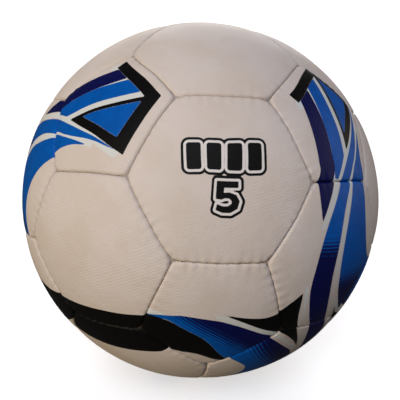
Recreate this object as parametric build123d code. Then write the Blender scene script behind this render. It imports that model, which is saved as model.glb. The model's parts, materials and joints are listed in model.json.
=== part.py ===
from build123d import *

import math
import os

# A hand-stitched ball of 32 panels: 20 hexagons and 12 pentagons. It lies with its centre at the
# origin, +Z up, and one hexagon, the front panel, facing -Y and tipped back a little.
# Millimetres and degrees throughout.

# ---------------------------------------------------------------- driving dimensions
BALL_RADIUS = 110.0              # a size 5 ball, 691 mm round
FRONT_TILT = 17.44               # the front panel's outward axis above the horizontal
FRONT_ROLL = 2.92                # its upper edge turned towards +X
VALVE_TOWARDS = (-5, 7, 1)       # the valve is in the hexagon nearest this direction, behind

SKIN_THICKNESS = 0.7             # embossed synthetic leather
FOAM_THICKNESS = 1.1
LINING_THICKNESS = 1.0           # laminated cloth
SEAM_GAP = 0.1                   # between the turned-in edges of two panels
SEAM_DEPTH = 5.2                 # from the ball's surface to the cut end of a turned-in edge
RIM_ROUND = 2.5                  # where a panel's surface turns down into the seam
CORNER_ROUND = 3.0

THREAD_RADIUS = 0.4              # waxed polyester thread
THREAD_SIDES = 8
HOLE_RADIUS = 0.55               # the awl's hole through a turned-in edge
STITCH_DEPTH = 3.7               # from the ball's surface to the line of stitches
STITCH_PITCH = 5.0
STITCHES_PER_SEAM = 8
THREAD_CLEARANCE = 0.02          # between a thread's run and the lining it lies on

BLADDER_CLEARANCE = 0.2          # below the turned-in edges
BLADDER_WALL = 0.7

STEM_RADIUS = 4.2                # the valve's rubber stem
STEM_CLEARANCE = 0.2             # around it in the panel and in the bladder
STEM_RECESS = 0.2                # its top below the ball's surface
STEM_LENGTH = 17.0
FLANGE_RADIUS = 14.0             # the housing's flange, bonded to the bladder
FLANGE_THICKNESS = 1.6
PATCH_RADIUS = 17.0              # reinforcing disc under the valve panel's lining
PLUG_RADIUS = 2.85
PLUG_HEAD_RADIUS = 3.4
PLUG_HEAD_HEIGHT = 1.4
PLUG_CLEARANCE = 0.05
HOUSING_FLOOR = 1.6              # the closed end of the housing, inside the bladder
AIR_HOLE_RADIUS = 0.8
NEEDLE_RADIUS = 1.05             # bore for a 2 mm inflating needle
NEEDLE_DEPTH = 11.0
MOUTH_RADIUS = 1.9               # funnel that guides the needle in
MOUTH_DEPTH = 0.8
STEM_ROUND = 0.4                 # on the edge of the stem's top

# ---------------------------------------------------------------- worked out from them
PANEL_THICKNESS = SKIN_THICKNESS + FOAM_THICKNESS + LINING_THICKNESS
EDGE_END_RADIUS = BALL_RADIUS - SEAM_DEPTH
STITCH_RADIUS = BALL_RADIUS - STITCH_DEPTH
BLADDER_RADIUS = EDGE_END_RADIUS - BLADDER_CLEARANCE
LINING_RADIUS = BALL_RADIUS - PANEL_THICKNESS
STEM_TOP = BALL_RADIUS - STEM_RECESS
GOLDEN = (1 + math.sqrt(5)) / 2
TOLERANCE = 1e-3
SAME_WAY = 1.0                   # two directions nearer than this, in degrees, are one
OVERCUT = 1.0                    # how far a cutting shape runs past what it cuts


# ---------------------------------------------------------------- the panel pattern
def icosahedron_corners():
    """The 12 corners of an icosahedron with edges 2 long: the pentagons' centres."""
    corners = []
    for one in (1, -1):
        for long in (GOLDEN, -GOLDEN):
            corners.append(Vector(0, one, long))
            corners.append(Vector(one, long, 0))
            corners.append(Vector(long, 0, one))
    return corners


def are_neighbours(first, second):
    return abs((first - second).length - 2) < TOLERANCE


def icosahedron_triangles(corners):
    """Index triples of mutually adjacent corners: each stands for one hexagon."""
    triangles = []
    count = len(corners)
    for a in range(count):
        for b in range(a + 1, count):
            for c in range(b + 1, count):
                pairs = ((a, b), (b, c), (a, c))
                if all(are_neighbours(corners[i], corners[j]) for i, j in pairs):
                    triangles.append((a, b, c))
    return triangles


def across(direction, axis):
    """The unit part of direction that is square to axis."""
    return (direction - axis * direction.dot(axis)).normalized()


CORNERS = icosahedron_corners()
TRIANGLES = icosahedron_triangles(CORNERS)


def row_turn():
    """A function that turns a direction from the icosahedron's axes to the ball's own."""
    a, b, c = (CORNERS[i] for i in TRIANGLES[0])
    centre = (a + b + c).normalized()
    upper_edge = across(a + b, centre)
    source = (upper_edge.cross(centre), upper_edge, centre)

    tilt = math.radians(FRONT_TILT)
    roll = math.radians(FRONT_ROLL)
    front = Vector(0, -math.cos(tilt), math.sin(tilt))
    north = Vector(0, math.sin(tilt), math.cos(tilt))
    up = north * math.cos(roll) + Vector(1, 0, 0) * math.sin(roll)
    target = (up.cross(front), up, front)

    def turned(direction):
        parts = [axis * direction.dot(own) for own, axis in zip(source, target)]
        return parts[0] + parts[1] + parts[2]

    return turned


TURNED = row_turn()


def hexagon_frames():
    """Centre and up directions of the 20 hexagons; up is towards a seam with another hexagon."""
    frames = []
    for triangle in TRIANGLES:
        a, b, c = (TURNED(CORNERS[i]) for i in triangle)
        centre = (a + b + c).normalized()
        frames.append((centre, across(a + b, centre)))
    return frames


FRONT = hexagon_frames()[0][0]
VALVE = max((centre for centre, up in hexagon_frames()), key=Vector(VALVE_TOWARDS).dot)


def pentagon_frames():
    """Centre and up directions of the 12 pentagons; up is towards the middle of a seam."""
    frames = []
    for triangle_corner in CORNERS:
        centre = TURNED(triangle_corner).normalized()
        neighbour = next(other for other in CORNERS if are_neighbours(triangle_corner, other))
        frames.append((centre, -across(TURNED(neighbour), centre)))
    return frames


def seam_frames():
    """Middle and running directions of the seams: hexagon to hexagon, then around pentagons."""
    between_hexagons = []
    around_pentagons = []
    for i, a in enumerate(CORNERS):
        for b in CORNERS[i + 1:]:
            if are_neighbours(a, b):
                middle = TURNED(a + b).normalized()
                between_hexagons.append((middle, across(TURNED(a - b), middle)))
    for triangle in TRIANGLES:
        for k in range(3):
            a, b, c = (CORNERS[triangle[(k + n) % 3]] for n in range(3))
            start = TURNED(a * 2 + b).normalized()
            end = TURNED(a * 2 + c).normalized()
            middle = (start + end).normalized()
            around_pentagons.append((middle, across(end - start, middle)))
    return between_hexagons, around_pentagons


def edge_angle(sides):
    """Angle at the ball's centre from a panel's middle to the middle of its edge, in radians."""
    a, b, c = (CORNERS[i] for i in TRIANGLES[0])
    if sides == 6:
        return (a + b + c).get_angle(a + b) * math.pi / 180
    return a.get_angle((a * 2 + b).normalized() + (a * 2 + c).normalized()) * math.pi / 180


def placed(shape, centre, up):
    """A copy of a shape drawn about +Z with +Y up, turned to a panel's place."""
    plane = Plane(origin=(0, 0, 0), x_dir=up.cross(centre), z_dir=centre)
    return shape.moved(plane.location)


# ---------------------------------------------------------------- one panel of each outline
def edge_frame(sides, k):
    """Middle, running and inward directions of edge k of a panel drawn about +Z."""
    tip = edge_angle(sides)
    turn = math.pi / 2 + 2 * math.pi * k / sides
    middle = Vector(math.sin(tip) * math.cos(turn), math.sin(tip) * math.sin(turn), math.cos(tip))
    along = Vector(-math.sin(turn), math.cos(turn), 0)
    inward = Vector(-math.cos(tip) * math.cos(turn), -math.cos(tip) * math.sin(turn), math.sin(tip))
    return middle, along, inward


def ball(radius):
    """A ball whose poles and seam line are clear of a panel drawn about +Z."""
    return Rot(0, 90, 0) * Sphere(radius)


def panel_block(sides, inset):
    """What is inside a panel's outline, inset below its surface and inside its edges."""
    top_radius = BALL_RADIUS - inset
    block = ball(top_radius)
    for k in range(sides):
        inward = edge_frame(sides, k)[2]
        seam = Plane(origin=inward * (SEAM_GAP / 2 + inset), z_dir=inward)
        block = split(block, bisect_by=seam, keep=Keep.TOP)
    block -= ball(EDGE_END_RADIUS - PANEL_THICKNESS)
    if CORNER_ROUND > inset:
        corners = block.edges().filter_by(GeomType.LINE)
        block = fillet(corners, CORNER_ROUND - inset)
    if RIM_ROUND > inset:
        rim = [edge for edge in block.edges()
               if abs((edge @ 0).length - top_radius) < TOLERANCE
               and abs((edge @ 1).length - top_radius) < TOLERANCE]
        block = fillet(rim, RIM_ROUND - inset)
    return block


def stitch_angles():
    """Places of the stitches along a seam, as angles from its middle, in radians."""
    middle = (STITCHES_PER_SEAM - 1) / 2
    return [(j - middle) * STITCH_PITCH / STITCH_RADIUS for j in range(STITCHES_PER_SEAM)]


def stitch_holes(sides):
    """The awl's holes through a panel's turned-in edges."""
    holes = []
    for k in range(sides):
        middle, along, inward = edge_frame(sides, k)
        for angle in stitch_angles():
            direction = middle * math.cos(angle) + along * math.sin(angle)
            start = direction * STITCH_RADIUS - inward * SEAM_GAP
            hole = Cylinder(HOLE_RADIUS, PANEL_THICKNESS + OVERCUT,
                            align=(Align.CENTER, Align.CENTER, Align.MIN))
            holes.append(Plane(origin=start, z_dir=inward) * hole)
    return holes


def panel_layers(sides):
    """Skin, foam and lining of one panel, each a cup with its edges turned in at the seams."""
    depths = [0, SKIN_THICKNESS, SKIN_THICKNESS + FOAM_THICKNESS, PANEL_THICKNESS]
    blocks = [panel_block(sides, depth) for depth in depths]
    holes = stitch_holes(sides)
    floor = ball(EDGE_END_RADIUS)
    layers = []
    for outer, inner in zip(blocks, blocks[1:]):
        layers.append(outer - inner - floor - holes)
    return layers


# ---------------------------------------------------------------- seam thread
def seam_thread():
    """One seam's running stitch, drawn about +Z with the seam along X: through a hole, along the
    inside of the turned-in edge to the next hole, and back through."""
    side = SEAM_GAP / 2 + PANEL_THICKNESS + THREAD_RADIUS + THREAD_CLEARANCE
    points = []
    for angle in stitch_angles():
        hole = Vector(math.sin(angle), 0, math.cos(angle)) * STITCH_RADIUS
        points.append(hole - Vector(0, side, 0))
        points.append(hole + Vector(0, side, 0))
        side = -side
    section = Plane(origin=points[0], z_dir=(0, 1, 0)) * RegularPolygon(THREAD_RADIUS, THREAD_SIDES)
    return sweep(section, path=Polyline(*points), transition=Transition.RIGHT)


# ---------------------------------------------------------------- bladder and valve, about +Z
def stem_hole(bottom):
    """The round way for the valve's stem through whatever lies above bottom."""
    hole = Cylinder(STEM_RADIUS + STEM_CLEARANCE, BALL_RADIUS + OVERCUT - bottom,
                    align=(Align.CENTER, Align.CENTER, Align.MIN))
    return Pos(0, 0, bottom) * hole


def upright(radius, low, high):
    return Pos(0, 0, low) * Cylinder(radius, high - low,
                                     align=(Align.CENTER, Align.CENTER, Align.MIN))


def bladder():
    shell = ball(BLADDER_RADIUS) - ball(BLADDER_RADIUS - BLADDER_WALL)
    return shell - stem_hole(BLADDER_RADIUS / 2)


def spherical_disc(radius, low, high):
    """A disc of the given radius that fills the ball between two distances from its centre."""
    return (ball(high) - ball(low)) & upright(radius, BLADDER_RADIUS / 2, BALL_RADIUS + OVERCUT)


def valve_housing():
    bottom = STEM_TOP - STEM_LENGTH
    stem = upright(STEM_RADIUS, bottom, STEM_TOP)
    top_edge = stem.edges().group_by(Axis.Z)[-1]
    stem = fillet(top_edge, STEM_ROUND)
    flange = spherical_disc(FLANGE_RADIUS, BLADDER_RADIUS, BLADDER_RADIUS + FLANGE_THICKNESS)
    housing = stem + flange
    housing -= upright(PLUG_RADIUS + PLUG_CLEARANCE, bottom + HOUSING_FLOOR, BALL_RADIUS)
    housing -= upright(PLUG_HEAD_RADIUS + PLUG_CLEARANCE, STEM_TOP - PLUG_HEAD_HEIGHT, BALL_RADIUS)
    housing -= upright(AIR_HOLE_RADIUS, bottom - OVERCUT, bottom + HOUSING_FLOOR + OVERCUT)
    return housing


def valve_plug():
    low = STEM_TOP - STEM_LENGTH + HOUSING_FLOOR + PLUG_CLEARANCE
    neck = STEM_TOP - PLUG_HEAD_HEIGHT + PLUG_CLEARANCE
    plug = upright(PLUG_RADIUS, low, neck) + upright(PLUG_HEAD_RADIUS, neck, STEM_TOP)
    plug -= upright(NEEDLE_RADIUS, STEM_TOP - NEEDLE_DEPTH, BALL_RADIUS)
    funnel = Cone(NEEDLE_RADIUS, MOUTH_RADIUS, MOUTH_DEPTH,
                  align=(Align.CENTER, Align.CENTER, Align.MAX))
    return plug - Pos(0, 0, STEM_TOP) * funnel


def valve_patch():
    disc = spherical_disc(PATCH_RADIUS, BLADDER_RADIUS + FLANGE_THICKNESS, LINING_RADIUS)
    return disc - stem_hole(BLADDER_RADIUS)


# ---------------------------------------------------------------- the assembly
def from_front(frame):
    """Sort key: how far a panel is from the front one, then round the front panel's axis."""
    centre = frame[0]
    side = across(centre, FRONT) if centre.get_angle(FRONT) > SAME_WAY else Vector(0, 0, 1)
    return (round(centre.get_angle(FRONT)), round(math.degrees(math.atan2(side.X, side.Z))))


def save(name, shapes):
    whole = shapes[0] if len(shapes) == 1 else Compound(children=shapes)
    whole.label = name
    export_step(whole, f"parts/{name}.step")


def save_panels(kind, sides, frames):
    """One node for each panel's skin, and one for all the foams and one for all the linings."""
    skin, foam, lining = panel_layers(sides)
    foams = []
    linings = []
    for number, (centre, up) in enumerate(sorted(frames, key=from_front), start=1):
        has_valve = centre.get_angle(VALVE) < SAME_WAY
        hole = stem_hole(EDGE_END_RADIUS)
        layers = [layer - hole if has_valve else layer for layer in (skin, foam, lining)]
        name = "valve_panel" if has_valve else f"{kind}_panel_{number:02d}"
        save(name, [placed(layers[0], centre, up)])
        foams.append(placed(layers[1], centre, up))
        linings.append(placed(layers[2], centre, up))
    save(f"{kind}_foam", foams)
    save(f"{kind}_lining", linings)


def main():
    os.makedirs("parts", exist_ok=True)
    hexagons = hexagon_frames()
    save_panels("hexagon", 6, hexagons)
    save_panels("pentagon", 5, pentagon_frames())

    thread = seam_thread()
    between_hexagons, around_pentagons = seam_frames()
    for name, seams in (("hexagon_seam_thread", between_hexagons),
                        ("pentagon_seam_thread", around_pentagons)):
        save(name, [placed(thread, middle, middle.cross(along)) for middle, along in seams])

    valve_up = next(up for centre, up in hexagons if centre.get_angle(VALVE) < SAME_WAY)
    for name, shape in (("bladder", bladder()), ("valve_housing", valve_housing()),
                        ("valve_plug", valve_plug()), ("valve_patch", valve_patch())):
        save(name, [placed(shape, VALVE, valve_up)])
    print("valve axis", VALVE, "mouth at", VALVE * STEM_TOP)


main()
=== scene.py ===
"""Looks of a hand-stitched size 5 soccer ball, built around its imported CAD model.

Each of the 32 panels is remade as a puffed, stitched-down leather cover with its printed bands.
Lengths inside the script are in millimetres until a mesh is made; MM turns them into metres."""

import json
import math

import bpy
import numpy as np
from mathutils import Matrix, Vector


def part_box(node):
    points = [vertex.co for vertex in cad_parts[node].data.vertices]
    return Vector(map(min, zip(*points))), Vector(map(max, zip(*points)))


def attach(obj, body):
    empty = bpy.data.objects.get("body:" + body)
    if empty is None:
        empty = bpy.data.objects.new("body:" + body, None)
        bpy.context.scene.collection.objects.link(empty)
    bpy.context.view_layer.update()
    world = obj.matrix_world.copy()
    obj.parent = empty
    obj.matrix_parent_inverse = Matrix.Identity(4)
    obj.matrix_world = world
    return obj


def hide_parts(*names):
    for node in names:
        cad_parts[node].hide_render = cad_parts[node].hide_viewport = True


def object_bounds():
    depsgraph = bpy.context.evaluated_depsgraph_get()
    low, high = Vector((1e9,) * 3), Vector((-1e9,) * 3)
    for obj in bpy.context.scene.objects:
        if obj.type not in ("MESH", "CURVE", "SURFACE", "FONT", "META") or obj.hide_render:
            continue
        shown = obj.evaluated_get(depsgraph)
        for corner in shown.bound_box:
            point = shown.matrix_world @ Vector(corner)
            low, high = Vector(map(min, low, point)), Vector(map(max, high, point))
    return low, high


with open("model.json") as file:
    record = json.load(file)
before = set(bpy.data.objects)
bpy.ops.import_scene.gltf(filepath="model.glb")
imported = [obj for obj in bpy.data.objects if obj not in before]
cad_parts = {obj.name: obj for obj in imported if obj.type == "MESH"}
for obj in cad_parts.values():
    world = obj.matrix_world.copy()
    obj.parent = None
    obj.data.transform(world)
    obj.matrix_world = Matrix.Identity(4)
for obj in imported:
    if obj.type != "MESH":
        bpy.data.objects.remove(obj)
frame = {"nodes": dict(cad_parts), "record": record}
cad_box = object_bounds()

MM = 0.001
BALL_RADIUS = 110.0
FRONT_TILT = math.radians(17.44)
FRONT_ROLL = math.radians(2.92)

CAMERA_AZIMUTH = -5.92           # degrees, from straight in front towards +X
CAMERA_ELEVATION = 12.0
CAMERA_DISTANCE = 3.085 * BALL_RADIUS
CAMERA_LENS = 46.7
CAMERA_SENSOR = 36

SAME_WAY = 0.999                 # cosine of the angle between two directions that are one
TOLERANCE = 0.01

# a panel's surface: how it rounds down into the seams
RIM_ROUND = 1.4                  # radius of the turned-down edge
RIM_START = 1.8                  # how far from the seam the fine rings begin
RIM_STEPS = 8
CORNER_BLEND = 1.2               # how widely the seams' valleys join at a panel's corners
FLANGE_DROPS = (0.6, 1.6)        # below the rounded edge, inside the seam
HALF_GAP = 0.05
PUFF_DROP = 0.6                  # how much lower a panel is at its seams than at its crown
PUFF_REACH = 6.0
PUFF_CHANGE = 0.3                # how much of it varies over the ball
CROWN_RISE = 0.25                # a crown stands this much proud of the CAD skin
SKIN_THICKNESS = 0.7
STITCH_PITCH = 5.0
PUCKER_HEIGHT = 0.18
PUCKER_REACH = 2.6
PUCKER_CHANGE = 0.6
WRINKLE_HEIGHT = 0.05
WRINKLE_REACH = 9.0
LUMP_HEIGHT = 0.16

# distance between a mesh's points on a plain panel, on a printed one and on the size mark's
PLAIN_SPACING = 1.25
PRINT_SPACING = 0.95
MARK_SPACING = 0.5
NO_INK = 99.0                    # a distance that means that an ink isn't on the panel

MOUNTS = {mount["name"]: mount for mount in frame["record"]["mounts"]}
VALVE_AXIS = np.array(MOUNTS["needle_bore"]["axis"])
VALVE_HOLE = 4.45                # radius of the hole in the valve panel's cover
HOLE_MARGIN = 1.06               # the rings start this many times further out
HOLE_BLEND = 3.2                 # and are round as far as this many times the first ring
HOLE_RIM = ((0.955, 0.12), (0.93, 0.45), (0.925, 1.5))    # share of the first ring, and drop


# ---------------------------------------------------------------- the panel pattern
def unit(vectors):
    vectors = np.asarray(vectors, float)
    return vectors / np.linalg.norm(vectors, axis=-1, keepdims=True)


def across(direction, axis):
    """The unit part of direction that is square to axis."""
    return unit(direction - axis * np.dot(direction, axis))


def icosahedron_corners():
    golden = (1 + math.sqrt(5)) / 2
    corners = []
    for one in (1, -1):
        for long in (golden, -golden):
            corners.append((0, one, long))
            corners.append((one, long, 0))
            corners.append((long, 0, one))
    return np.array(corners, float)


def icosahedron_triangles(corners):
    count = len(corners)
    near = {(a, b) for a in range(count) for b in range(a + 1, count)
            if abs(np.linalg.norm(corners[a] - corners[b]) - 2) < TOLERANCE}
    return [(a, b, c) for a, b in sorted(near) for c in range(b + 1, count)
            if (b, c) in near and (a, c) in near]


def row_turn(corners, triangle):
    """The rotation that puts a triangle's hexagon at the front of the ball."""
    a, b, c = (corners[i] for i in triangle)
    centre = unit(a + b + c)
    upper = across(a + b, centre)
    source = np.array([np.cross(upper, centre), upper, centre])
    front = np.array([0, -math.cos(FRONT_TILT), math.sin(FRONT_TILT)])
    north = np.array([0, math.sin(FRONT_TILT), math.cos(FRONT_TILT)])
    up = north * math.cos(FRONT_ROLL) + np.array([math.sin(FRONT_ROLL), 0, 0])
    target = np.array([np.cross(up, front), up, front])
    return target.T @ source


class Panel:
    """One panel's outline on the unit ball, with axes right, up and centre."""

    def __init__(self, centre, corners):
        self.centre = unit(centre)
        self.sides = len(corners)
        corners = unit(corners)
        start = across(corners[0], self.centre)
        side = np.cross(self.centre, start)
        order = np.argsort(np.arctan2(corners @ side, corners @ start))
        self.corners = corners[order]
        following = np.roll(self.corners, -1, axis=0)
        self.inward = unit(np.cross(self.corners, following))
        self.middles = unit(self.corners + following)
        self.along = unit(following - self.corners)
        self.apothem = BALL_RADIUS * math.acos(float(self.middles[0] @ self.centre))
        self.turn_to(np.array([0, 0, 1.0]))

    def turn_to(self, north):
        """up is towards the edge whose middle is nearest to north."""
        best = max(self.middles, key=lambda middle: float(across(middle, self.centre) @ north))
        self.up = across(best, self.centre)
        self.right = np.cross(self.up, self.centre)

    def turn_to_image(self, turn):
        """up and right as the half turn carries them from the panel's partner in front."""
        partner = Panel(turn @ self.centre, [turn @ corner for corner in self.corners])
        self.up = turn @ partner.up
        self.right = turn @ partner.right

    def local(self, directions):
        """Places on the panel in mm from its centre, along right and up."""
        x = directions @ self.right
        y = directions @ self.up
        angle = np.arccos(np.clip(directions @ self.centre, -1, 1))
        scale = BALL_RADIUS * angle / np.maximum(np.hypot(x, y), 1e-9)
        return np.stack([x * scale, y * scale], axis=1)


def all_panels():
    corners = icosahedron_corners()
    triangles = icosahedron_triangles(corners)
    corners = corners @ row_turn(corners, triangles[0]).T
    panels = []
    for a, b, c in triangles:
        pairs = [(a, b), (b, a), (b, c), (c, b), (a, c), (c, a)]
        panels.append(Panel(corners[a] + corners[b] + corners[c],
                            [2 * corners[i] + corners[j] for i, j in pairs]))
    for a, corner in enumerate(corners):
        gaps = np.linalg.norm(corners - corner, axis=1)
        near = np.flatnonzero(np.abs(gaps - 2) < TOLERANCE)
        panels.append(Panel(corner, [2 * corner + corners[b] for b in near]))
    return panels


def half_turn(panels):
    """The half turn, about the most upright axis square to the front panel, that keeps the pattern."""
    front = panels[0].centre
    seams = [middle for panel in panels if panel.sides == 6 for middle in panel.middles]
    square = [m for m in seams if abs(m @ front) < TOLERANCE
              and any(np.allclose(2 * np.outer(m, m) @ front - front, p.centre, atol=TOLERANCE)
                      for p in panels)
              and keeps_pattern(m, panels)]
    axis = max(square, key=lambda middle: middle[2])
    return 2 * np.outer(axis, axis) - np.eye(3)


def keeps_pattern(axis, panels):
    turn = 2 * np.outer(axis, axis) - np.eye(3)
    fives = np.array([p.centre for p in panels if p.sides == 5])
    return all(np.max(fives @ (turn @ five)) > SAME_WAY for five in fives)


# ---------------------------------------------------------------- ink shapes, in a panel's mm
def curve(points, steps=6):
    """A smooth line through a few points."""
    points = np.array(points, float)
    padded = np.vstack([2 * points[0] - points[1], points, 2 * points[-1] - points[-2]])
    line = []
    for p0, p1, p2, p3 in zip(padded, padded[1:], padded[2:], padded[3:]):
        for t in np.arange(steps) / steps:
            line.append(0.5 * (2 * p1 + (p2 - p0) * t + (2 * p0 - 5 * p1 + 4 * p2 - p3) * t ** 2
                               + (3 * p1 - p0 - 3 * p2 + p3) * t ** 3))
    line.append(points[-1])
    return np.array(line)


def polygon(at, outline):
    """Signed distance from places to a closed outline, negative inside."""
    outline = np.array(outline, float)
    best = np.full(len(at), 1e9)
    inside = np.zeros(len(at), bool)
    for start, end in zip(outline, np.roll(outline, -1, axis=0)):
        edge = end - start
        length = float(edge @ edge)
        if length < 1e-12:
            continue
        offset = at - start
        t = np.clip(offset @ edge / length, 0, 1)
        best = np.minimum(best, np.linalg.norm(offset - t[:, None] * edge, axis=1))
        crosses = (start[1] > at[:, 1]) != (end[1] > at[:, 1])
        with np.errstate(divide="ignore", invalid="ignore"):
            x = start[0] + (at[:, 1] - start[1]) * edge[0] / edge[1]
        inside ^= crosses & (at[:, 0] < x)
    return np.where(inside, -best, best)


def band(at, first, second):
    """A band between two smooth edges that run the same way."""
    return polygon(at, np.vstack([curve(first), curve(second)[::-1]]))


def ramp(value, low, high):
    t = np.clip((value - low) / (high - low), 0, 1)
    return t * t * (3 - 2 * t)


def rounded_bar(at, centre, half_width, half_height, corner):
    away = np.abs(at - np.array(centre)) - np.array([half_width - corner, half_height - corner])
    outside = np.linalg.norm(np.maximum(away, 0), axis=1)
    return outside + np.minimum(np.max(away, axis=1), 0) - corner


def turned(at, degrees):
    angle = math.radians(degrees)
    turn = np.array([[math.cos(angle), math.sin(angle)], [-math.sin(angle), math.cos(angle)]])
    return at @ turn


class Inks:
    """Signed distances of each ink over a panel's vertices, and where blue fades to navy."""

    def __init__(self, count):
        self.blue = np.full(count, NO_INK)
        self.navy = np.full(count, NO_INK)
        self.black = np.full(count, NO_INK)
        self.mark = np.full(count, NO_INK)
        self.nearest = np.full(count, NO_INK)
        self.gap = np.full(count, NO_INK)
        self.fade = np.zeros(count)

    def add_blue(self, distance, fade=None):
        if fade is not None:
            self.fade = np.where(distance < self.blue, fade, self.fade)
        self.blue = np.minimum(self.blue, distance)
        self.note(distance)

    def add_navy(self, distance):
        self.navy = np.minimum(self.navy, distance)
        self.note(distance)

    def add_black(self, distance):
        self.black = np.minimum(self.black, distance)
        self.note(distance)

    def note(self, distance):
        """gap is the distance to the second nearest band: it is small between two bands."""
        self.gap = np.minimum(self.gap, np.maximum(self.nearest, distance))
        self.nearest = np.minimum(self.nearest, distance)


def plain(at, inks):
    """No print."""


def corner_print(at, inks):
    """Pentagons beside the front panel: an open black frame, bands beside it and two below."""
    outer = [(-18.3, 26.5), (18, 26.5), (28.7, -6), (-13.3, -14.5), (12.5, 20.5), (-18.3, 20.5)]
    inner = [(-6.5, -8.5), (13.5, 18), (20, -2.5)]
    inks.add_black(np.maximum(polygon(at, outer), -polygon(at, inner)))
    inks.add_blue(polygon(at, inner))
    beside = [(-3.5, 20.5), (8.5, 20.5), (-17.5, -15), (-30, -20.1), (-32, -18.6)]
    inks.add_blue(polygon(at, beside))
    inks.add_navy(band(at, [(-16, 20.5), (-27, 5), (-35, -6), (-38, -10), (-46, -14)],
                       [(-5, 20.5), (-14.5, 5.5), (-24.3, -8), (-28.7, -14.7), (-36, -20)]))
    inks.add_blue(band(at, [(23, -7), (4.4, -12.1), (-7, -15), (-21.5, -19.4), (-56, -31)],
                       [(23, -7.5), (10.2, -12.6), (-9.2, -21.4), (-18.4, -25), (-56, -43)]))
    inks.add_blue(band(at, [(9, -16.2), (-1, -19.4), (-9.4, -22.8), (-17.2, -26.4), (-45, -44)],
                       [(9, -16.5), (1.4, -21), (-3.2, -25.4), (-6.8, -31), (-16, -52)]))


def shifted_corner_print(at, inks):
    """The same print, cut a little further over on its panel and stretched there."""
    at = at - np.array([7.5, -1.0])
    stretch_from = -13.3
    stretch = 0.055
    over = np.maximum(at[:, 0] - stretch_from, 0)
    corner_print(at - np.stack([over, over], axis=1) * stretch, inks)


def streamer_print(at, inks):
    """Hexagons below those pentagons: two long bands that curl and fade, and small spikes."""
    inks.add_navy(band(at, [(-20, 44), (-20, 40), (-19.5, 30), (-18, 20)],
                       [(-7, 44), (-9, 40), (-14, 29), (-18, 20)]))
    inks.add_blue(band(at, [(0, 48), (-4, 40), (-10, 28), (-15, 15), (-17.5, 0), (-17, -15),
                            (-10, -30), (-2, -40), (8, -52)],
                       [(9.5, 48), (5, 40), (-1.6, 25), (-3.5, 5), (-3, -10), (2, -25), (12, -40),
                        (24, -52)]),
                  1 - ramp(at[:, 1], 0, 17))
    inks.add_blue(band(at, [(13, 48), (7.4, 40), (2, 20), (1, 5), (3, -8), (8, -20), (20, -32),
                            (35, -40), (50, -46)],
                       [(19, 48), (19.4, 40), (20, 25), (24, 12), (32, 0), (45, -8), (60, -12)]),
                  1 - ramp(at[:, 1], -20, -2))
    inks.add_black(band(at, [(-36, -34), (-31, -26), (-21.5, -15.5)],
                        [(-8, -46), (-17, -32), (-21.5, -15.5)]))
    inks.add_black(band(at, [(12, -29), (24, -39), (40, -50)], [(12, -29), (19, -38), (30, -50)]))


def turned_streamer_print(at, inks):
    """The same print, shifted, on the far left hexagon, where the bands enter at its upper right."""
    shift = np.array([4.3, 0])
    streamer_print(turned(at, 60) + shift, inks)


def ribbon_print(at, inks):
    """The pentagon below the front panel: a black ribbon crossing a blue one, and a spike."""
    inks.add_blue(band(at, [(-36, -2), (-32, 0.5), (-20, 2.5), (-14, 3), (0, 1), (10, -3), (20, -8),
                            (32, -15), (42, -22)],
                       [(-36, -2), (-25, -0.5), (-18, -3), (-5, -12), (5, -25), (12, -36), (18, -46)]),
                  ramp(at[:, 1] + 0.75 * at[:, 0], -19, -1))
    inks.add_black(band(at, [(-44, -2), (-33, 0), (-25, -0.5), (-18, -3), (-5, -12), (5, -25),
                             (12, -36), (18, -46)],
                        [(-44, -27), (-33, -26), (-24, -25), (-15, -24.5), (-5, -26), (5, -32),
                         (10, -35), (14, -46)]))
    inks.add_black(band(at, [(3, 5), (15, 1.5), (25, 0.5), (32.5, 2), (42, 4)],
                        [(3, 5), (15, -2), (28, -9), (35, -13), (42, -17)]))


def low_band_print(at, inks):
    """A black band along the lower edge."""
    inks.add_black(polygon(at, [(-60, -28.5), (-30, -29.2), (0, -29.8), (60, -29.5),
                                (60, -60), (-60, -60)]))


def high_band_print(at, inks):
    """A black band along the upper edge, where it meets the one above."""
    inks.add_black(polygon(at, [(-60, 19.5), (-10, 20.8), (28, 21.5), (34, 24), (60, 10),
                                (60, 60), (-60, 60)]))


def crossing_print(at, inks):
    """The hexagon below the ribbon: it widens and fades, with a spike and a second band above."""
    inks.add_blue(band(at, [(-60, 38), (-40, 37), (-20, 30), (0, 17), (12, 0), (18, -20), (20, -48)],
                       [(-60, 16), (-40, 12), (-25, 5), (-18, -8), (-14, -25), (-12, -48)]),
                  ramp(at[:, 1] + 0.8 * at[:, 0], -12, 12))
    inks.add_black(band(at, [(-50, 42), (-25, 38), (-10, 31), (1, 22)],
                        [(-50, 50), (-20, 45), (-8, 34), (1, 22)]))
    inks.add_navy(band(at, [(-10, 56), (-1, 38), (8, 20), (17, 6)],
                       [(4, 56), (12, 42), (19, 30), (25, 14)]))
    inks.add_black(band(at, [(14, 52), (19, 42), (27, 30)], [(22, 52), (24, 42), (27, 30)]))


def side_ribbon_print(at, inks):
    """The pentagon at the lower left, which the black ribbon crosses."""
    inks.add_black(band(at, [(-44, 12), (-20, 9), (8, 5), (22, 2), (44, -2)],
                        [(-44, -12), (-20, -19), (8, -23), (22, -20), (44, -14)]))


def right_tail_print(at, inks):
    """The pentagon at the lower right, where the streamers run out."""
    inks.add_blue(band(at, [(-48, 42), (-32, 29), (-18, 25), (8, 22), (44, 26)],
                       [(-48, 2), (-25, -7), (0, -5), (20, 5), (44, 20)]),
                  1 - ramp(at[:, 1] - 0.2 * at[:, 0], -4, 22))
    inks.add_black(band(at, [(-46, -7), (-24, -13), (-6, -13)], [(-46, -11), (-24, -16), (-6, -13)]))
    inks.add_navy(band(at, [(-48, -18), (-24, -21), (-8, -28), (2, -42)],
                       [(-48, -34), (-30, -34), (-16, -40), (-8, -48)]))


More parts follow.
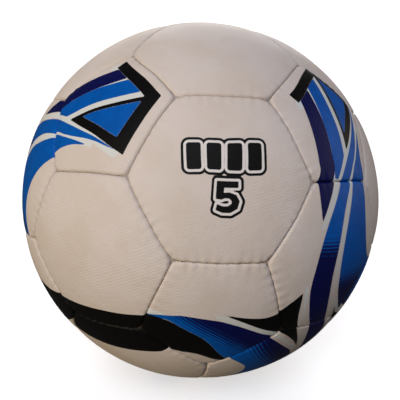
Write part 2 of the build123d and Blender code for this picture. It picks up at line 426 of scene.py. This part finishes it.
def size_mark(at, inks):
    """A plain size mark: four equal bars over a block figure five, ringed in white and black."""
    at = turned(at, -1.5)
    shapes = []
    for step in (-1.5, -0.5, 0.5, 1.5):
        shapes.append(rounded_bar(at, (9.2 * step + 0.2, 9.2), 3.3, 6.2, 1.2))
    five = [(-3.2, -1.8), (6.6, -1.8), (6.6, -4.8), (0.2, -4.8), (0, -7.1), (2.6, -6.9), (5.6, -8.1),
            (7, -11), (5.9, -14.4), (2.6, -16.4), (-1, -16.4), (-3.9, -15.2), (-3.2, -12.4),
            (-0.8, -13.4), (1.6, -13.4), (3.3, -12.2), (3.4, -10.8), (2.2, -9.7), (0.4, -9.7),
            (-1.2, -10.4), (-3.8, -10)]
    shapes.append(polygon(at, five))
    inks.mark = np.min(shapes, axis=0)


def facing(azimuth, elevation):
    a = math.radians(azimuth)
    e = math.radians(elevation)
    return np.array([math.sin(a) * math.cos(e), -math.cos(a) * math.cos(e), math.sin(e)])


# which print is on the panel that faces about each way; the rest of the front half is plain
ABOUT_SAME_WAY = 0.99
PRINTS = (
    (facing(0, 17), size_mark),
    (facing(-38, 34), corner_print),
    (facing(39, 30), shifted_corner_print),
    (facing(34, -7), streamer_print),
    (facing(-74, 15), turned_streamer_print),
    (facing(-2, -20), ribbon_print),
    (facing(-37, -4), low_band_print),
    (facing(-35, -46), high_band_print),
    (facing(28, -49), crossing_print),
    (facing(-70, -22), side_ribbon_print),
    (facing(68, -27), right_tail_print),
)


# ---------------------------------------------------------------- smooth unevenness
WAVE_COUNT = 14


def waves(seed, wavelength):
    """A smooth uneven field over space, about -1 to 1, as a sum of seeded waves."""
    random = np.random.default_rng(seed)
    directions = unit(random.normal(size=(WAVE_COUNT, 3)))
    lengths = wavelength * random.uniform(0.7, 1.5, WAVE_COUNT)
    phases = random.uniform(0, 2 * math.pi, WAVE_COUNT)

    def field(at):
        angles = at @ (directions * (2 * math.pi / lengths)[:, None]).T + phases
        return np.sin(angles).sum(axis=1) / math.sqrt(WAVE_COUNT / 2) / 1.6

    return field


LUMPS = waves(11, 70.0)
WRINKLES = waves(12, 7.0)
PUFFS = waves(13, 34.0)
TIGHTNESS = waves(14, 18.0)
WANDER = [waves(seed, 24.0) for seed in (21, 22, 23)]
WANDER_MM = 0.28


# ---------------------------------------------------------------- a panel's mesh
def lattice(panel, spacing, hole):
    """Flat places over a panel seen from the ball's centre, their extra drops, and faces."""
    basis = np.stack([panel.right, panel.up], axis=1)
    outline = (panel.corners @ basis) / (panel.corners @ panel.centre)[:, None]
    sides = panel.sides
    edge_length = BALL_RADIUS * math.acos(float(panel.corners[0] @ panel.corners[1]))
    inner = 1 - RIM_START / panel.apothem
    rings = round(edge_length * inner / spacing)
    first = math.ceil(hole / (panel.apothem * inner / rings)) if hole else 1

    places = []
    drops = []
    faces = []
    starts = {}
    if not hole:
        places.append((0.0, 0.0))
        drops.append(0.0)
    for i in range(first, rings + 1):
        starts[i] = len(places)
        share = inner * i / rings
        for k in range(sides):
            a = outline[k]
            b = outline[(k + 1) % sides]
            for j in range(i):
                place = share * (a + (b - a) * (j / i))
                if hole:
                    place = rounded_in(place, hole / BALL_RADIUS, share, inner * first / rings)
                places.append(tuple(place))
                drops.append(0.0)
    if not hole:
        for k in range(sides):
            faces.append((0, starts[1] + k, starts[1] + (k + 1) % sides))
    for i in range(first + 1, rings + 1):
        outer_count = sides * i
        inner_count = sides * (i - 1)
        for k in range(sides):
            for j in range(i):
                a = starts[i] + k * i + j
                b = starts[i] + (k * i + j + 1) % outer_count
                c = starts[i - 1] + (k * (i - 1) + j) % inner_count
                faces.append((a, b, c))
                if j < i - 1:
                    d = starts[i - 1] + (k * (i - 1) + j + 1) % inner_count
                    faces.append((c, b, d))

    ring_count = sides * rings
    last = starts[rings]
    turns = [math.pi / 2 * n / RIM_STEPS for n in range(1, RIM_STEPS + 1)]
    rim = [(RIM_ROUND * (1 - math.sin(turn)), 0.0) for turn in turns]
    rim += [(0.0, drop) for drop in FLANGE_DROPS]
    for distance, drop in rim:
        share = 1 - (distance + HALF_GAP) / panel.apothem
        start = len(places)
        for k in range(sides):
            a = outline[k]
            b = outline[(k + 1) % sides]
            for j in range(rings):
                places.append(tuple(share * (a + (b - a) * (j / rings))))
                drops.append(drop)
        for n in range(ring_count):
            m = (n + 1) % ring_count
            faces.append((start + n, start + m, last + m, last + n))
        last = start
    if hole:
        hole_count = sides * first
        last = starts[first]
        for share, drop in HOLE_RIM:
            start = len(places)
            for n in range(hole_count):
                x, y = places[starts[first] + n]
                places.append((x * share, y * share))
                drops.append(drop)
            for n in range(hole_count):
                m = (n + 1) % hole_count
                faces.append((last + n, last + m, start + m, start + n))
            last = start
    return np.array(places), np.array(drops), faces


def rounded_in(place, hole_radius, share, first_share):
    """Draws the lattice's rings round near the valve's hole."""
    roundness = 1 - ramp(share, first_share, first_share * HOLE_BLEND)
    length = float(np.hypot(*place))
    wanted = hole_radius * HOLE_MARGIN * share / first_share
    return place * (1 + roundness * (wanted / length - 1))


def seam_distance(panel, directions):
    """Distance to the nearest seam in mm, rounded at corners, and the place along that seam."""
    away = BALL_RADIUS * np.arcsin(np.clip(directions @ panel.inward.T, -1, 1))
    soft = -CORNER_BLEND * np.log(np.exp(-away / CORNER_BLEND).sum(axis=1))
    nearest = np.argmin(away, axis=1)
    run = BALL_RADIUS * np.arcsin(np.clip(directions @ panel.along.T, -1, 1))
    return soft, run[np.arange(len(run)), nearest]


def surface_drop(directions, soft, run):
    """How far below the ball's full radius a panel's surface lies."""
    at = directions * BALL_RADIUS
    turn = np.clip(1 - soft / RIM_ROUND, 0, 1)
    rim = RIM_ROUND * (1 - np.sqrt(np.maximum(1 - turn ** 2, 0)))
    clear = np.maximum(soft, 0)
    puff = PUFF_DROP * (1 + PUFF_CHANGE * PUFFS(at)) * np.exp(-clear / PUFF_REACH)
    pull = PUCKER_HEIGHT * (1 + PUCKER_CHANGE * TIGHTNESS(at)) * np.exp(-clear / PUCKER_REACH)
    pucker = pull * np.cos(2 * math.pi * run / STITCH_PITCH)
    wrinkle = WRINKLE_HEIGHT * WRINKLES(at) * np.exp(-clear / WRINKLE_REACH)
    lumps = LUMP_HEIGHT * LUMPS(at)
    return rim + puff + pucker + wrinkle + lumps - CROWN_RISE


def shifted(directions):
    """Lets the seams wander a little from their true lines, alike on both sides of a seam."""
    at = directions * BALL_RADIUS
    offset = np.stack([field(at) for field in WANDER], axis=1) * (WANDER_MM / BALL_RADIUS)
    return unit(directions + offset)


def write_attribute(mesh, name, values):
    attribute = mesh.attributes.new(name, "FLOAT", "POINT")
    attribute.data.foreach_set("value", np.ascontiguousarray(values, dtype=np.float32))


def make_panel(panel, node, paint, material):
    """The cover of one panel, standing for its CAD skin."""
    has_valve = bool(panel.centre @ VALVE_AXIS > SAME_WAY)
    spacing = PRINT_SPACING
    if paint is plain:
        spacing = PLAIN_SPACING
    if paint is size_mark:
        spacing = MARK_SPACING
    places, drops, faces = lattice(panel, spacing, VALVE_HOLE if has_valve else 0.0)
    directions = unit(panel.centre + places[:, :1] * panel.right + places[:, 1:] * panel.up)
    soft, run = seam_distance(panel, directions)
    radii = BALL_RADIUS - surface_drop(directions, soft, run) - drops
    positions = shifted(directions) * radii[:, None] * MM

    at = panel.local(directions)
    inks = Inks(len(at))
    paint(at, inks)

    mesh = bpy.data.meshes.new("cover_" + node)
    mesh.from_pydata(positions.tolist(), [], faces)
    for ink in ("blue", "navy", "black", "mark"):
        write_attribute(mesh, "ink_" + ink, getattr(inks, ink))
    write_attribute(mesh, "gap", inks.gap)
    write_attribute(mesh, "fade", inks.fade)
    write_attribute(mesh, "seam", soft)
    flat = mesh.attributes.new("flat", "FLOAT_VECTOR", "POINT")
    level = np.column_stack([at, np.zeros(len(at))])
    flat.data.foreach_set("vector", level.astype(np.float32).ravel())
    mesh.shade_smooth()
    mesh.materials.append(material)
    piece = bpy.data.objects.new("cover_" + node, mesh)
    bpy.context.scene.collection.objects.link(piece)
    thicken(piece)
    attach(piece, "root")
    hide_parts(node)


def thicken(piece):
    """Gives a cover the leather's thickness, inwards."""
    modifier = piece.modifiers.new("thickness", "SOLIDIFY")
    modifier.thickness = SKIN_THICKNESS * MM
    modifier.offset = -1
    bpy.context.view_layer.update()
    evaluated = piece.evaluated_get(bpy.context.evaluated_depsgraph_get())
    solid = bpy.data.meshes.new_from_object(evaluated)
    solid.name = piece.name
    piece.modifiers.clear()
    piece.data = solid


# ---------------------------------------------------------------- materials
class Shader:
    """A small helper for building one node material."""

    def __init__(self, name):
        self.material = bpy.data.materials.new(name)
        self.material.use_nodes = True
        self.tree = self.material.node_tree
        self.bsdf = self.tree.nodes["Principled BSDF"]

    def node(self, kind, **settings):
        made = self.tree.nodes.new(kind)
        for key, value in settings.items():
            setattr(made, key, value)
        return made

    def feed(self, value, socket):
        """Links an output to a socket, or sets the socket to a number or colour."""
        if isinstance(value, bpy.types.NodeSocket):
            self.tree.links.new(value, socket)
        else:
            socket.default_value = value

    def attribute(self, name, output="Fac"):
        return self.node("ShaderNodeAttribute", attribute_name=name).outputs[output]

    def math(self, operation, first, second=0.0):
        made = self.node("ShaderNodeMath", operation=operation)
        self.feed(first, made.inputs[0])
        self.feed(second, made.inputs[1])
        return made.outputs[0]

    def ramp(self, value, low, high, start=0.0, end=1.0):
        """start below low, end above high, and smooth between."""
        made = self.node("ShaderNodeMapRange", interpolation_type="SMOOTHSTEP")
        for socket, number in zip(made.inputs, (value, low, high, start, end)):
            self.feed(number, socket)
        return made.outputs[0]

    def noise(self, vector, scale, detail=3.0, roughness=0.55):
        made = self.node("ShaderNodeTexNoise")
        self.feed(vector, made.inputs["Vector"])
        made.inputs["Scale"].default_value = scale
        made.inputs["Detail"].default_value = detail
        made.inputs["Roughness"].default_value = roughness
        return made.outputs["Fac"]

    def cells(self, vector, scale):
        made = self.node("ShaderNodeTexVoronoi", feature="DISTANCE_TO_EDGE")
        self.feed(vector, made.inputs["Vector"])
        made.inputs["Scale"].default_value = scale
        return made.outputs["Distance"]

    def lines(self, vector, spacing, degrees, distortion):
        """Even lines across a flat place in mm, turned by an angle."""
        turn = self.node("ShaderNodeMapping")
        self.feed(vector, turn.inputs["Vector"])
        turn.inputs["Rotation"].default_value = (0, 0, math.radians(degrees))
        made = self.node("ShaderNodeTexWave", wave_type="BANDS", bands_direction="X",
                         wave_profile="SIN")
        self.feed(turn.outputs["Vector"], made.inputs["Vector"])
        made.inputs["Scale"].default_value = 0.314 / spacing
        made.inputs["Distortion"].default_value = distortion
        made.inputs["Detail"].default_value = 2.0
        made.inputs["Detail Scale"].default_value = 1.5
        return made.outputs["Fac"]

    def mix(self, factor, first, second):
        made = self.node("ShaderNodeMix", data_type="RGBA")
        self.feed(factor, made.inputs[0])
        self.feed(first, made.inputs[6])
        self.feed(second, made.inputs[7])
        return made.outputs[2]

    def bump(self, height, distance, strength=1.0, under=None):
        made = self.node("ShaderNodeBump")
        made.inputs["Strength"].default_value = strength
        made.inputs["Distance"].default_value = distance
        self.feed(height, made.inputs["Height"])
        if under is not None:
            self.feed(under, made.inputs["Normal"])
        return made.outputs["Normal"]

    def coordinates(self):
        return self.node("ShaderNodeTexCoord").outputs["Object"]

    def set(self, **sockets):
        for name, value in sockets.items():
            self.feed(value, self.bsdf.inputs[name.replace("_", " ")])


def srgb(red, green, blue):
    """A colour given as 0 to 255 as the shader's linear numbers."""
    parts = []
    for part in (red, green, blue):
        share = part / 255
        parts.append(share / 12.92 if share <= 0.04045 else ((share + 0.055) / 1.055) ** 2.4)
    return (*parts, 1.0)


OFF_WHITE = srgb(224, 214, 206)
OFF_WHITE_WARM = srgb(218, 206, 194)
SOILED = srgb(150, 134, 118)
# painted shade: the colour the leather darkens to where it turns down into a seam's groove
SEAM_PAINTED_SHADE = srgb(92, 74, 56)
PAPER_WHITE = srgb(232, 228, 224)
PRINT_WHITE = srgb(220, 224, 220)
BLUE = srgb(2, 102, 198)
BLUE_DEEP = srgb(3, 76, 158)
NAVY = srgb(12, 18, 78)
BLACK = srgb(13, 13, 13)

EDGE_SOFTNESS = 0.13             # of a printed edge, in mm
FADE_STRIPES = 6.5               # stripes across a band where its blue fades to navy
FADE_CONTRAST = 0.30
GAP_NEAR = 3.0                   # leather nearer than this to two bands is printed white
GAP_FAR = 4.2
MARK_BLACK_RING = 2.4            # how far the size mark's rings reach from its shapes
MARK_WHITE_RING = 1.2
MARK_SOFTNESS = 0.1


def cover_material():
    """Off-white embossed synthetic leather with its printed bands."""
    s = Shader("printed_cover")
    flat = s.attribute("flat", "Vector")
    space = s.coordinates()
    seam = s.attribute("seam")

    mottle = s.noise(space, 38, 4.0)
    leather = s.mix(s.ramp(mottle, 0.35, 0.7), OFF_WHITE, OFF_WHITE_WARM)
    dirt = s.noise(space, 260, 5.0, 0.7)
    near_seam = s.ramp(seam, 0.2, 2.4, 1.0, 0.0)
    soil = s.math("MULTIPLY", near_seam, s.ramp(dirt, 0.3, 0.8, 0.03, 0.16))
    leather = s.mix(soil, leather, SOILED)

    leather = s.mix(s.ramp(s.attribute("gap"), GAP_NEAR, GAP_FAR, 1.0, 0.0), leather, PRINT_WHITE)
    ragged = s.math("MULTIPLY", s.math("SUBTRACT", s.noise(flat, 1.6, 2.0), 0.5), 0.28)

    def inked(name, colour, under):
        edge = s.math("ADD", s.attribute(name), ragged)
        return s.mix(s.ramp(edge, -EDGE_SOFTNESS, EDGE_SOFTNESS, 1.0, 0.0), under, colour)

    def ringed(reach, colour, under):
        return s.mix(s.ramp(mark, reach - MARK_SOFTNESS, reach + MARK_SOFTNESS, 1.0, 0.0),
                     under, colour)

    blue_edge = s.attribute("ink_blue")
    fade = s.attribute("fade")
    stripes = s.math("SINE", s.math("MULTIPLY", fade, 2 * math.pi * FADE_STRIPES))
    fading = s.math("ADD", fade, s.math("MULTIPLY", stripes, FADE_CONTRAST))
    uneven = s.math("SUBTRACT", s.noise(flat, 0.5), 0.5)
    fading = s.math("ADD", fading, s.math("MULTIPLY", uneven, 0.3))
    blue = s.mix(s.noise(flat, 0.12, 3.0), BLUE, BLUE_DEEP)
    blue = s.mix(s.ramp(fading, 0.25, 0.75), blue, NAVY)
    printed = inked("ink_blue", blue, leather)
    printed = inked("ink_navy", NAVY, printed)
    printed = inked("ink_black", BLACK, printed)

    mark = s.math("ADD", s.attribute("ink_mark"), s.math("MULTIPLY", ragged, 0.5))
    printed = ringed(MARK_BLACK_RING, BLACK, printed)
    printed = ringed(MARK_WHITE_RING, PAPER_WHITE, printed)
    printed = ringed(0.0, BLACK, printed)
    # painted shade: the leather darkens where it turns down into the seam's groove, standing in for
    # the groove's shadow
    printed = s.mix(s.ramp(seam, -0.3, 0.25, 0.4, 0.0), printed, SEAM_PAINTED_SHADE)
    s.set(Base_Color=printed)

    any_ink = s.math("MINIMUM", s.attribute("ink_black"), blue_edge)
    any_ink = s.math("MINIMUM", any_ink, s.attribute("ink_navy"))
    rough = s.ramp(any_ink, -0.1, 0.1, 0.36, 0.5)
    s.set(Roughness=s.math("ADD", rough, s.math("MULTIPLY", s.noise(flat, 0.9), 0.1)))
    s.bsdf.inputs["Specular IOR Level"].default_value = 0.12

    steep = s.lines(flat, 1.3, -32, 2.2)
    level = s.lines(flat, 1.45, 70, 2.6)
    patch = s.ramp(s.noise(flat, 0.045, 2.0), 0.42, 0.58)
    hatch = s.math("ADD", s.math("MULTIPLY", steep, s.math("SUBTRACT", 1.0, patch)),
                   s.math("MULTIPLY", level, patch))
    grain = s.ramp(s.cells(flat, 1.05), 0.02, 0.22)
    fine = s.noise(flat, 2.4, 4.0, 0.6)
    height = s.math("ADD", s.math("MULTIPLY", hatch, 0.45), s.math("MULTIPLY", grain, 0.3))
    height = s.math("ADD", height, s.math("MULTIPLY", fine, 0.45))
    low = s.bump(s.noise(flat, 0.16, 3.0), 0.0007, 0.35)
    s.set(Normal=s.bump(height, 0.00011, 0.8, low))
    return s.material


def rubber_material(name, colour, dusty, roughness):
    """Moulded rubber with a fine grain and a little dust."""
    s = Shader(name)
    space = s.coordinates()
    s.set(Base_Color=s.mix(s.ramp(s.noise(space, 420, 5.0, 0.7), 0.45, 0.8), colour, dusty))
    s.set(Roughness=s.ramp(s.noise(space, 900, 3.0), 0.2, 0.8, roughness - 0.08, roughness + 0.1))
    s.set(Normal=s.bump(s.noise(space, 2600, 3.0), 0.00006, 0.5))
    return s.material


def cloth_material(name, colour, shade, spacing):
    """Plain woven cloth in the ball's own coordinates."""
    s = Shader(name)
    space = s.coordinates()
    millimetres = s.node("ShaderNodeVectorMath", operation="SCALE")
    s.feed(space, millimetres.inputs[0])
    millimetres.inputs["Scale"].default_value = 1000
    warp = s.lines(millimetres.outputs[0], spacing, 0, 0.6)
    weft = s.lines(millimetres.outputs[0], spacing, 90, 0.6)
    weave = s.math("MAXIMUM", warp, weft)
    tone = s.math("MULTIPLY", weave, s.ramp(s.noise(space, 160, 4.0), 0.3, 0.7, 0.6, 1.0))
    s.set(Base_Color=s.mix(tone, shade, colour))
    s.set(Roughness=s.ramp(weave, 0.0, 1.0, 0.95, 0.8))
    s.set(Normal=s.bump(weave, 0.00018, 0.7))
    return s.material


def foam_material():
    """Closed-cell foam with its pores."""
    s = Shader("foam")
    space = s.coordinates()
    pores = s.cells(space, 1500)
    s.set(Base_Color=s.mix(s.ramp(pores, 0.0, 0.2), srgb(176, 172, 158), srgb(214, 210, 196)))
    s.set(Roughness=s.ramp(s.noise(space, 300, 3.0), 0.3, 0.7, 0.8, 0.95))
    s.set(Normal=s.bump(pores, 0.0001, 0.6))
    return s.material


def thread_material():
    """Waxed, twisted thread."""
    s = Shader("waxed_thread")
    space = s.coordinates()
    strands = s.noise(space, 3200, 3.0, 0.6)
    s.set(Base_Color=s.mix(strands, srgb(58, 48, 40), srgb(104, 90, 76)))
    s.set(Roughness=s.ramp(strands, 0.3, 0.7, 0.4, 0.6))
    s.set(Normal=s.bump(strands, 0.0001, 0.7))
    return s.material


def floor_material():
    s = Shader("floor")
    tone = s.noise(s.coordinates(), 0.8, 2.0)
    s.set(Base_Color=s.mix(tone, srgb(236, 236, 238), srgb(240, 240, 241)), Roughness=0.85)
    s.set(Emission_Color=srgb(255, 255, 255), Emission_Strength=0.55)
    s.bsdf.inputs["Specular IOR Level"].default_value = 0.1
    return s.material


def finish_inside():
    """Materials of the CAD pieces that stay: foam, cloth, thread, bladder and valve."""
    materials = {
        "hexagon_foam": foam_material(),
        "hexagon_lining": cloth_material("lining_cloth", srgb(214, 208, 192),
                                         srgb(150, 144, 130), 0.8),
        "hexagon_seam_thread": thread_material(),
        "bladder": rubber_material("bladder_rubber", srgb(34, 34, 36), srgb(70, 68, 66), 0.5),
        "valve_housing": rubber_material("valve_rubber", srgb(24, 24, 25), srgb(64, 60, 56), 0.48),
        "valve_plug": rubber_material("plug_rubber", srgb(40, 40, 42), srgb(78, 74, 70), 0.42),
        "valve_patch": cloth_material("patch_cloth", srgb(96, 92, 84), srgb(52, 50, 46), 0.6),
    }
    for kind in ("foam", "lining", "seam_thread"):
        materials["pentagon_" + kind] = materials["hexagon_" + kind]
    for node, material in materials.items():
        for slot in frame["nodes"][node].material_slots:
            slot.material = material


# ---------------------------------------------------------------- floor, light and camera
FLOOR_RADIUS = 5.0               # metres, like everything on the stage
FLOOR_FLAT = 0.62 * FLOOR_RADIUS
FLOOR_RISE = 1.6
FLOOR_TURNS = 96
FLAT_RINGS = 8
RISE_RINGS = 12
WORLD_COLOUR = (1.0, 0.92, 0.86, 1.0)
WORLD_STRENGTH = 0.04

# name, azimuth and elevation in degrees, strength, colour, softness in degrees
SUNS = (
    ("key", -55, 5, 1.50, (1.0, 0.82, 0.56), 30),
    ("top", -12, 44, 1.75, (0.82, 0.85, 1.0), 40),
    ("side", 96, 14, 0.45, (1.0, 0.86, 0.70), 40),
    ("back", 172, 22, 1.90, (1.0, 0.96, 0.92), 40),
)


def floor():
    """A pale floor that curves up into a backdrop all round, and keeps no light off the ball."""
    profile = [(FLOOR_FLAT * n / FLAT_RINGS, 0.0) for n in range(1, FLAT_RINGS + 1)]
    for n in range(1, RISE_RINGS + 1):
        angle = math.pi / 2 * n / RISE_RINGS
        radius = FLOOR_FLAT + (FLOOR_RADIUS - FLOOR_FLAT) * math.sin(angle)
        profile.append((radius, FLOOR_RISE * (1 - math.cos(angle))))
    low = float(cad_box[0][2])
    points = [(0.0, 0.0, low)]
    for radius, rise in profile:
        for n in range(FLOOR_TURNS):
            angle = 2 * math.pi * n / FLOOR_TURNS
            points.append((radius * math.cos(angle), radius * math.sin(angle), low + rise))
    faces = [(0, 1 + n, 1 + (n + 1) % FLOOR_TURNS) for n in range(FLOOR_TURNS)]
    for ring in range(len(profile) - 1):
        start = 1 + ring * FLOOR_TURNS
        following = start + FLOOR_TURNS
        for n in range(FLOOR_TURNS):
            m = (n + 1) % FLOOR_TURNS
            faces.append((start + n, following + n, following + m, start + m))
    mesh = bpy.data.meshes.new("floor")
    mesh.from_pydata(points, [], faces)
    mesh.shade_smooth()
    mesh.materials.append(floor_material())
    piece = bpy.data.objects.new("floor", mesh)
    bpy.context.scene.collection.objects.link(piece)
    piece.visible_diffuse = False
    piece.visible_glossy = False
    piece.visible_shadow = False


def aim(piece, place, target=(0, 0, 0)):
    """Puts a camera or lamp at a place, looking at the target with its top upwards."""
    piece.location = place
    away = Vector(target) - Vector(place)
    piece.rotation_euler = away.to_track_quat("-Z", "Y").to_euler()


def sun(name, azimuth, elevation, strength, colour, softness):
    lamp = bpy.data.lights.new(name, "SUN")
    lamp.energy = strength
    lamp.color = colour
    lamp.angle = math.radians(softness)
    piece = bpy.data.objects.new(name, lamp)
    bpy.context.scene.collection.objects.link(piece)
    aim(piece, tuple(facing(azimuth, elevation) * 3))


def lights():
    world = bpy.data.worlds.new("studio")
    world.use_nodes = True
    background = world.node_tree.nodes["Background"]
    background.inputs["Color"].default_value = WORLD_COLOUR
    background.inputs["Strength"].default_value = WORLD_STRENGTH
    bpy.context.scene.world = world
    for settings in SUNS:
        sun(*settings)


def colours():
    """Plain display colours, so that the inks keep their strength."""
    bpy.context.scene.view_settings.view_transform = "Standard"
    bpy.context.scene.view_settings.look = "None"


def camera():
    lens = bpy.data.cameras.new("camera")
    lens.lens = CAMERA_LENS
    lens.sensor_width = CAMERA_SENSOR
    piece = bpy.data.objects.new("camera", lens)
    bpy.context.scene.collection.objects.link(piece)
    place = facing(CAMERA_AZIMUTH, CAMERA_ELEVATION)
    aim(piece, tuple(place * CAMERA_DISTANCE * MM))
    bpy.context.scene.camera = piece


# ---------------------------------------------------------------- the ball
def print_of(panel, panels, turn):
    """The print on a panel: the front half's own, repeated on the back by a half turn."""
    front = panels[0].centre
    looked_up = panel.centre
    if panel.centre @ front < 0:
        looked_up = turn @ panel.centre
        panel.turn_to_image(turn)
    for direction, paint in PRINTS:
        if looked_up @ direction > ABOUT_SAME_WAY:
            if paint is size_mark and panel.centre @ front < 0:
                return plain
            return paint
    return plain


def skin_directions():
    """The way that each CAD skin faces, from the middle of its box."""
    skins = [name for name in frame["nodes"] if "_panel_" in name or name == "valve_panel"]
    return {name: unit(np.mean(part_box(name), axis=0)) for name in skins}


def ball():
    panels = all_panels()
    turn = half_turn(panels)
    material = cover_material()
    skins = skin_directions()
    for panel in panels:
        paint = print_of(panel, panels, turn)
        node = max(skins, key=lambda name: float(skins[name] @ panel.centre))
        make_panel(panel, node, paint, material)


camera()
colours()
lights()
floor()
finish_inside()
ball()
